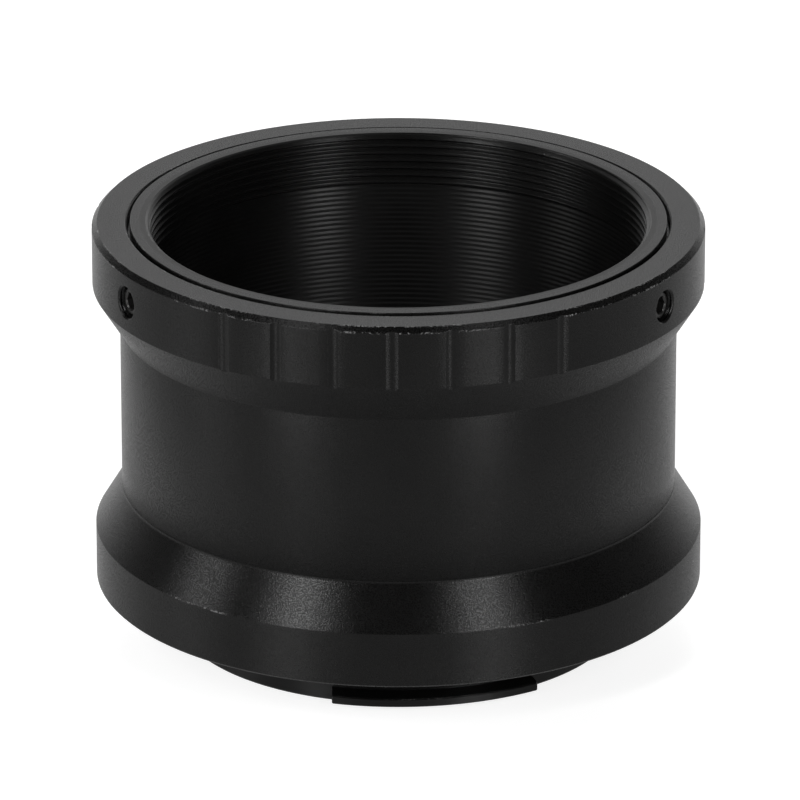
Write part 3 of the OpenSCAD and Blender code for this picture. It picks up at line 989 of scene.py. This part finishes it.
def anodised(name, roughness, grain, lines, edges, used_turn, worn_share):
    """Black anodised aluminium: blasted grain over turning lines, rubbed bright at its edges.

    grain and lines are the strengths of the two bumps. The bore is smoother in grain and rougher
    in gloss than the outside.
    """
    material, g = new_material(name)
    where, round_x, round_y, radius, z = round_coordinates(g)
    slanted = g.add(z, g.mul(radius, LINE_SLOPE))
    around = g.vector(g.mul(round_x, LINE_STRETCH), g.mul(round_y, LINE_STRETCH), slanted)
    turning = g.noise(around, scale=5200, detail=3.0, roughness=0.6)
    outside = g.step(radius, *BORE_LIMIT, low=BORE_GRAIN)
    blasted = g.mul(g.noise(where, scale=6200, roughness=0.65), outside)
    pitted = g.noise(where, scale=9000, detail=1.0, roughness=0.6)
    pits = g.mul(g.step(pitted, 0.34, 0.66, low=-PIT_ROUGHNESS, high=PIT_ROUGHNESS), outside)
    cloud = g.noise(where, scale=160, detail=3.0, roughness=0.55)
    surface = g.node("BsdfPrincipled")
    surface.inputs["IOR"].default_value = COATING_IOR
    surface.inputs["Anisotropic"].default_value = TURNED
    surface.inputs["Anisotropic Rotation"].default_value = QUARTER_TURN
    tangent = g.node("Tangent", direction_type="RADIAL", axis="Z").outputs[0]
    g.feed(surface.inputs["Tangent"], scattered(g, tangent, where))
    black = (grey(DARK_BLACK, WARMTH), grey(LIGHT_BLACK, WARMTH))
    tone = g.mix(g.step(cloud, 0.3, 0.7), *black)
    rough = g.add(g.add(roughness, pits), g.step(outside, BORE_GRAIN, 1.0, BORE_ROUGHER, 0.0))
    used = radians(used_turn)
    most_used = g.less(g.mul(round_x, sin(used)), g.mul(round_y, cos(used)))
    worn = edge_wear(g, where, radius, z, edges, most_used, worn_share)
    tone = g.mix(worn, tone, grey(WORN_GREY))
    tone = g.mix(dust_specks(g, where), tone, grey(DUST_GREY))
    rough = g.less(rough, g.mul(worn, WORN_GLOSS))
    g.feed(surface.inputs["Base Color"], tone)
    g.feed(surface.inputs["Roughness"], rough)
    normal = g.bump(turning, lines, GRAIN_DEPTH)
    g.feed(surface.inputs["Normal"], g.bump(blasted, grain, GRAIN_DEPTH, normal))
    g.output(surface)
    return material


def blackened_steel():
    """Black oxide on machined screws: its tone varies at random in soft clouds, with a slight oily
    gloss.
    """
    material, g = new_material("black_oxide_steel")
    where = g.node("TexCoord").outputs["Object"]
    scratches = g.noise(where, scale=5000, detail=4.0, roughness=0.6)
    cloud = g.noise(where, scale=900)
    surface = g.node("BsdfPrincipled")
    surface.inputs["Metallic"].default_value = 0.55
    surface.inputs["IOR"].default_value = 1.5
    g.feed(surface.inputs["Base Color"], g.mix(cloud, grey(0.012), grey(0.035, 0.03)))
    g.feed(surface.inputs["Roughness"], g.add(0.26, g.mul(scratches, 0.16)))
    g.feed(surface.inputs["Normal"], g.bump(scratches, strength=0.25, distance=0.03 * MM))
    g.output(surface)
    return material


def red_enamel():
    """Red paint in a drilled dot: slightly uneven, glossy."""
    material, g = new_material("red_index_enamel")
    where = g.node("TexCoord").outputs["Object"]
    cloud = g.noise(where, scale=1500, detail=3.0)
    surface = g.node("BsdfPrincipled")
    surface.inputs["IOR"].default_value = 1.48
    surface.inputs["Coat Weight"].default_value = 0.4
    surface.inputs["Coat Roughness"].default_value = 0.12
    dark_red, light_red = (0.36, 0.010, 0.008, 1), (0.52, 0.018, 0.013, 1)
    g.feed(surface.inputs["Base Color"], g.mix(cloud, dark_red, light_red))
    g.feed(surface.inputs["Roughness"], g.add(0.24, g.mul(cloud, 0.16)))
    g.feed(surface.inputs["Normal"], g.bump(cloud, strength=0.3, distance=0.05 * MM))
    g.output(surface)
    return material


# Edges that wear, as (radius, height)
BODY_EDGES = [
    (COLLAR_R, FRONT_Z - COLLAR_EDGE),
    (COLLAR_R - COLLAR_EDGE, FRONT_Z),
    (RECESS_R + FINE_EDGE, FRONT_Z),
]
FLANGE_EDGES = [(RIM_R, RIM_TOP_Z)]
RING_EDGES = [(RELIEF_R, RING_TOP_Z), (THREAD_MINOR_R + ENTRY_W, RING_TOP_Z)]
BAYONET_EDGES = [(LUG_R, LUG_Z + LUG_T), (LUG_R, LUG_Z), (NECK_R, 0)]

body_black = anodised(
    "barrel_black_anodised",
    roughness=0.31, grain=0.45, lines=0.2, edges=BODY_EDGES, used_turn=-5, worn_share=0.1,
)
flange_black = anodised(
    "flange_black_anodised",
    roughness=0.31, grain=0.5, lines=0.2, edges=FLANGE_EDGES, used_turn=15, worn_share=0.0,
)
ring_black = anodised(
    "ring_black_anodised",
    roughness=0.33, grain=0.4, lines=0.3, edges=RING_EDGES, used_turn=0, worn_share=0.05,
)
bayonet_black = anodised(
    "bayonet_black_anodised",
    roughness=0.33, grain=0.4, lines=0.3, edges=BAYONET_EDGES, used_turn=10, worn_share=0.05,
)
steel = blackened_steel()
enamel = red_enamel()


# --- The object -----------------------------------------------------------------------------------


def show(mesh, node, body, material):
    """Puts a finished mesh in the scene, in place of its CAD node."""
    piece = bpy.data.objects.new(mesh.name, mesh)
    bpy.context.scene.collection.objects.link(piece)
    mesh.materials.append(material)
    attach(piece, body)
    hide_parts(node)


MAIN_BODY = "adapter_body"
show(front_barrel(), "front_barrel", MAIN_BODY, body_black)
show(thread_ring(), "thread_ring", "thread_ring", ring_black)
show(rear_flange(), "rear_flange", MAIN_BODY, flange_black)
show(bayonet_ring(), "bayonet_ring", MAIN_BODY, bayonet_black)
show(index_bead(), "index_bead", MAIN_BODY, enamel)
for screw_node, screw_turn in zip(SCREWS, SCREW_TURNS):
    show(set_screw(screw_node, screw_turn), screw_node, screw_node, steel)
for screw_node, screw_turn in zip(PLATE_SCREWS, PLATE_SCREW_TURNS):
    show(plate_screw(screw_node, screw_turn), screw_node, MAIN_BODY, steel)


# --- Studio ---------------------------------------------------------------------------------------

# Floor: half width in metres, surface, its own light and the extra that only the camera sees
FLOOR_HALF, FLOOR_GREY, FLOOR_ROUGHNESS, FLOOR_SPECULAR = 3.0, 0.35, 0.35, 0.4
FLOOR_GLOW, SEEN_GLOW = 0.37, 0.46
BACKDROP_WHITE = 1.0

# The white back, in degrees from the front and up, the dimmer part low in it, and the low light
BACK_FROM, BACK_FULL, BACK_TOP, BACK_END = 141, 161, 60, 75
DIM_FROM, DIM_FULL, DIM_FOOT, DIM_TOP, DIM_SHARE = 158, 172, 4, 22, 0.35
LOW_FULL, LOW_END = 2, 10
CEILING_LIGHT, LOW_LIGHT, BACK_LIGHT = 0.02, 0.9, 1.15

# Softboxes as (turn, half width, lowest and highest elevation, brightness), in degrees, and the
# softness of their sides, foot and top
SOFTBOXES = [(35, 6, 8, 44, 14), (-42, 6, 8, 52, 10), (-42, 7, 26, 48, 6), (-84, 7, 14, 36, 7)]
SOFT_SIDE, SOFT_FOOT, SOFT_TOP = 2.5, 4, 6

# Camera: distance, elevation in radians, height of the view's centre, its shift, and the lens
CAMERA_DISTANCE, CAMERA_ELEVATION = 796.74, 0.3748064
CENTRE_Z, AIM_UP, AIM_ACROSS = 21, 1.364, 0.148
SENSOR_W, LENS = 36, 373.34


def floor_plane():
    """A pale table top that the adapter stands on, and that isn't there when seen from below."""
    mesh = bpy.data.meshes.new("studio_floor")
    corners = [(x * FLOOR_HALF, y * FLOOR_HALF, 0) for x, y in ((-1, -1), (1, -1), (1, 1), (-1, 1))]
    mesh.from_pydata(corners, [], [(0, 1, 2, 3)])
    plane = bpy.data.objects.new("studio_floor", mesh)
    bpy.context.scene.collection.objects.link(plane)
    material, g = new_material("studio_white")
    surface = g.node("BsdfPrincipled")
    surface.inputs["Base Color"].default_value = grey(FLOOR_GREY)
    surface.inputs["Roughness"].default_value = FLOOR_ROUGHNESS
    surface.inputs["Specular IOR Level"].default_value = FLOOR_SPECULAR
    surface.inputs["Emission Color"].default_value = grey(1.0)
    seen = g.node("LightPath").outputs["Is Camera Ray"]
    g.feed(surface.inputs["Emission Strength"], g.add(FLOOR_GLOW, g.mul(seen, SEEN_GLOW)))
    one_sided = g.node("MixShader")
    g.feed(one_sided.inputs[0], g.node("NewGeometry").outputs["Backfacing"])
    g.feed(one_sided.inputs[1], surface.outputs[0])
    g.feed(one_sided.inputs[2], g.node("BsdfTransparent").outputs[0])
    g.output(one_sided)
    mesh.materials.append(material)


def studio_world():
    """A white cyclorama behind and low all round, a dark ceiling, and upright strip softboxes."""
    world = bpy.data.worlds.new("studio")
    bpy.context.scene.world = world
    world.use_nodes = True
    g = Graph(world.node_tree)
    x, y, z = g.parts(g.node("TexCoord").outputs["Generated"])
    up = g.mul(g.math("ARCSINE", z), degrees(1))
    turn = g.mul(g.math("ARCTAN2", x, g.mul(y, -1)), degrees(1))
    side = g.math("ABSOLUTE", turn)
    low = g.step(up, LOW_END, LOW_FULL)
    back = g.mul(g.step(side, BACK_FROM, BACK_FULL), g.step(up, BACK_END, BACK_TOP))
    dim = g.step(up, DIM_TOP, DIM_FOOT, low=0.0, high=DIM_SHARE)
    back = g.mul(back, g.less(1.0, g.mul(g.step(side, DIM_FROM, DIM_FULL), dim)))
    walls = g.math("MAXIMUM", g.mul(low, LOW_LIGHT), g.mul(back, BACK_LIGHT))
    light = g.add(CEILING_LIGHT, walls)
    for at, half, lowest, highest, bright in SOFTBOXES:
        off = g.math("ABSOLUTE", g.less(turn, at))
        across = g.step(off, half + SOFT_SIDE, half - SOFT_SIDE)
        inside = g.mul(across, g.step(up, lowest - SOFT_FOOT, lowest + SOFT_FOOT))
        inside = g.mul(inside, g.step(up, highest + SOFT_TOP, highest - SOFT_TOP))
        light = g.add(light, g.mul(inside, bright))
    seen = g.node("LightPath").outputs["Is Camera Ray"]
    strength = g.add(g.mul(light, g.less(1.0, seen)), g.mul(seen, BACKDROP_WHITE))
    background = g.node("Background")
    background.inputs["Color"].default_value = grey(1.0)
    g.feed(background.inputs["Strength"], strength)
    g.output(background, "OutputWorld")


def studio_camera():
    """A long lens, a little above the adapter, that looks along +Y."""
    back = Vector((0, -cos(CAMERA_ELEVATION), sin(CAMERA_ELEVATION)))
    up = Vector((0, sin(CAMERA_ELEVATION), cos(CAMERA_ELEVATION)))
    aim = Vector((0, 0, CENTRE_Z * MM)) + up * AIM_UP * MM + Vector((AIM_ACROSS * MM, 0, 0))
    data = bpy.data.cameras.new("studio_camera")
    data.sensor_width = SENSOR_W
    data.lens = LENS
    data.clip_start, data.clip_end = 0.05, 20
    camera = bpy.data.objects.new("studio_camera", data)
    bpy.context.scene.collection.objects.link(camera)
    camera.location = aim + back * CAMERA_DISTANCE * MM
    camera.rotation_mode = "QUATERNION"
    camera.rotation_quaternion = (-back).to_track_quat("-Z", "Y")
    bpy.context.scene.camera = camera


floor_plane()
studio_world()
studio_camera()
bpy.context.scene.view_settings.view_transform = "Standard"
